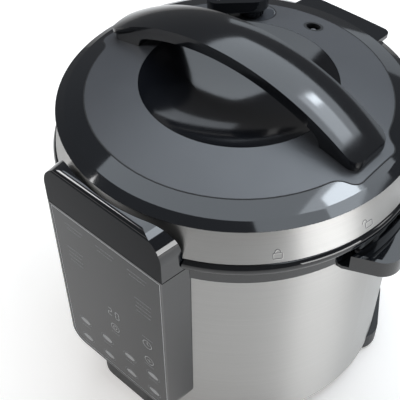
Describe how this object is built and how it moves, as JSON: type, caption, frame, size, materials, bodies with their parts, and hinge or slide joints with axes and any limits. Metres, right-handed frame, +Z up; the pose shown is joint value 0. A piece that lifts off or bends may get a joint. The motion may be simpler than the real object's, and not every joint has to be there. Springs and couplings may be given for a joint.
{
  "type": "electric pressure cooker",
  "caption": "Round electric pressure cooker with a steel body, a touch panel on the front, an arched lid handle, a steam release knob, side handles and a removable pot.",
  "frame": {"origin": "on the standing surface, under the centre of the round body", "axes": "+Z up, -Y towards the control panel, +X to the right of a user who faces the panel"},
  "size_m": [0.332, 0.298, 0.3053],
  "materials": {
    "gloss_black": "gloss",
    "matte_black": "satin",
    "disc_grey": "satin",
    "panel_glass": "gloss",
    "cup_grey": "satin",
    "brushed_steel": "brushed",
    "plain_steel": "satin",
    "dark_steel": "satin",
    "cast_aluminium": "cast",
    "pot_aluminium": "satin",
    "plate_aluminium": "satin",
    "rubber_black": "matte",
    "silicone": "matte",
    "red_silicone": "matte",
    "board": "satin",
    "ceramic": "satin",
    "brass": "satin"
  },
  "bodies": {
    "base": {"base_cover": "matte_black", "foot_pads": "rubber_black", "base_screws": "dark_steel", "steel_housing": "brushed_steel", "top_ring": "gloss_black", "side_handle_right": "gloss_black", "side_handle_left": "gloss_black", "side_handle_screws": "dark_steel", "lock_flange": "plain_steel", "outer_liner": "plain_steel", "support_posts": "plain_steel", "heating_plate": "cast_aluminium", "heating_element": "dark_steel", "thermal_cutout": "ceramic", "sensor_spring": "plain_steel", "power_board": "board", "mains_inlet": "matte_black", "inlet_pins": "plain_steel", "panel_housing": "gloss_black", "panel_brow": "gloss_black", "panel_glass": "panel_glass", "control_board": "board", "display_module": "matte_black", "touch_springs": "plain_steel", "board_screws": "dark_steel", "cup_bracket": "matte_black"},
    "plunger": {"sensor_plunger": "plate_aluminium"},
    "cup": {"condensate_cup": "cup_grey"},
    "pot": {"inner_pot": "pot_aluminium"},
    "lid_plate": {"inner_plate": "plate_aluminium", "sealing_ring": "silicone", "plate_grommet": "rubber_black"},
    "lid": {"pressure_lid": "plain_steel", "centre_post": "plain_steel", "lid_frame": "matte_black", "lid_band": "brushed_steel", "lid_cover": "gloss_black", "lid_disc": "disc_grey", "lid_dish": "gloss_black", "handle_shell": "gloss_black", "handle_base": "gloss_black", "handle_screws": "dark_steel", "steam_pipe": "plain_steel", "pipe_nut": "dark_steel", "valve_well": "matte_black", "filter_cap": "plain_steel", "float_bezel": "matte_black", "lid_screws": "dark_steel"},
    "knob": {"steam_knob": "gloss_black", "valve_weight": "brass"},
    "float": {"float_pin": "plain_steel", "float_seal": "red_silicone"}
  },
  "joints": [
    {"name": "pot_lift", "type": "slide", "parent": "base", "child": "pot", "axis": [0, 0, 1], "range_m": [0, 0.17]},
    {"name": "lid_lift", "type": "slide", "parent": "pot", "child": "lid_plate", "axis": [0, 0, 1], "range_m": [0, 0.12]},
    {"name": "lid_turn", "type": "hinge", "parent": "lid_plate", "child": "lid", "pos_m": [0, 0, 0.25], "axis": [0, 0, -1], "range_deg": [0, 30]},
    {"name": "steam_knob_turn", "type": "hinge", "parent": "lid", "child": "knob", "pos_m": [-0.05396, 0.08, 0.27], "axis": [0, 0, 1], "range_deg": [0, 60]},
    {"name": "float_rise", "type": "slide", "parent": "lid", "child": "float", "axis": [0, 0, 1], "range_m": [0, 0.0035]},
    {"name": "sensor_press", "type": "slide", "parent": "base", "child": "plunger", "axis": [0, 0, 1], "range_m": [-0.003, 0], "stiffness_N_per_m": 800, "springref_m": 0.002, "deforming": ["sensor_spring"]},
    {"name": "cup_slide", "type": "slide", "parent": "base", "child": "cup", "axis": [0, 1, 0], "range_m": [0, 0.04]}
  ]
}
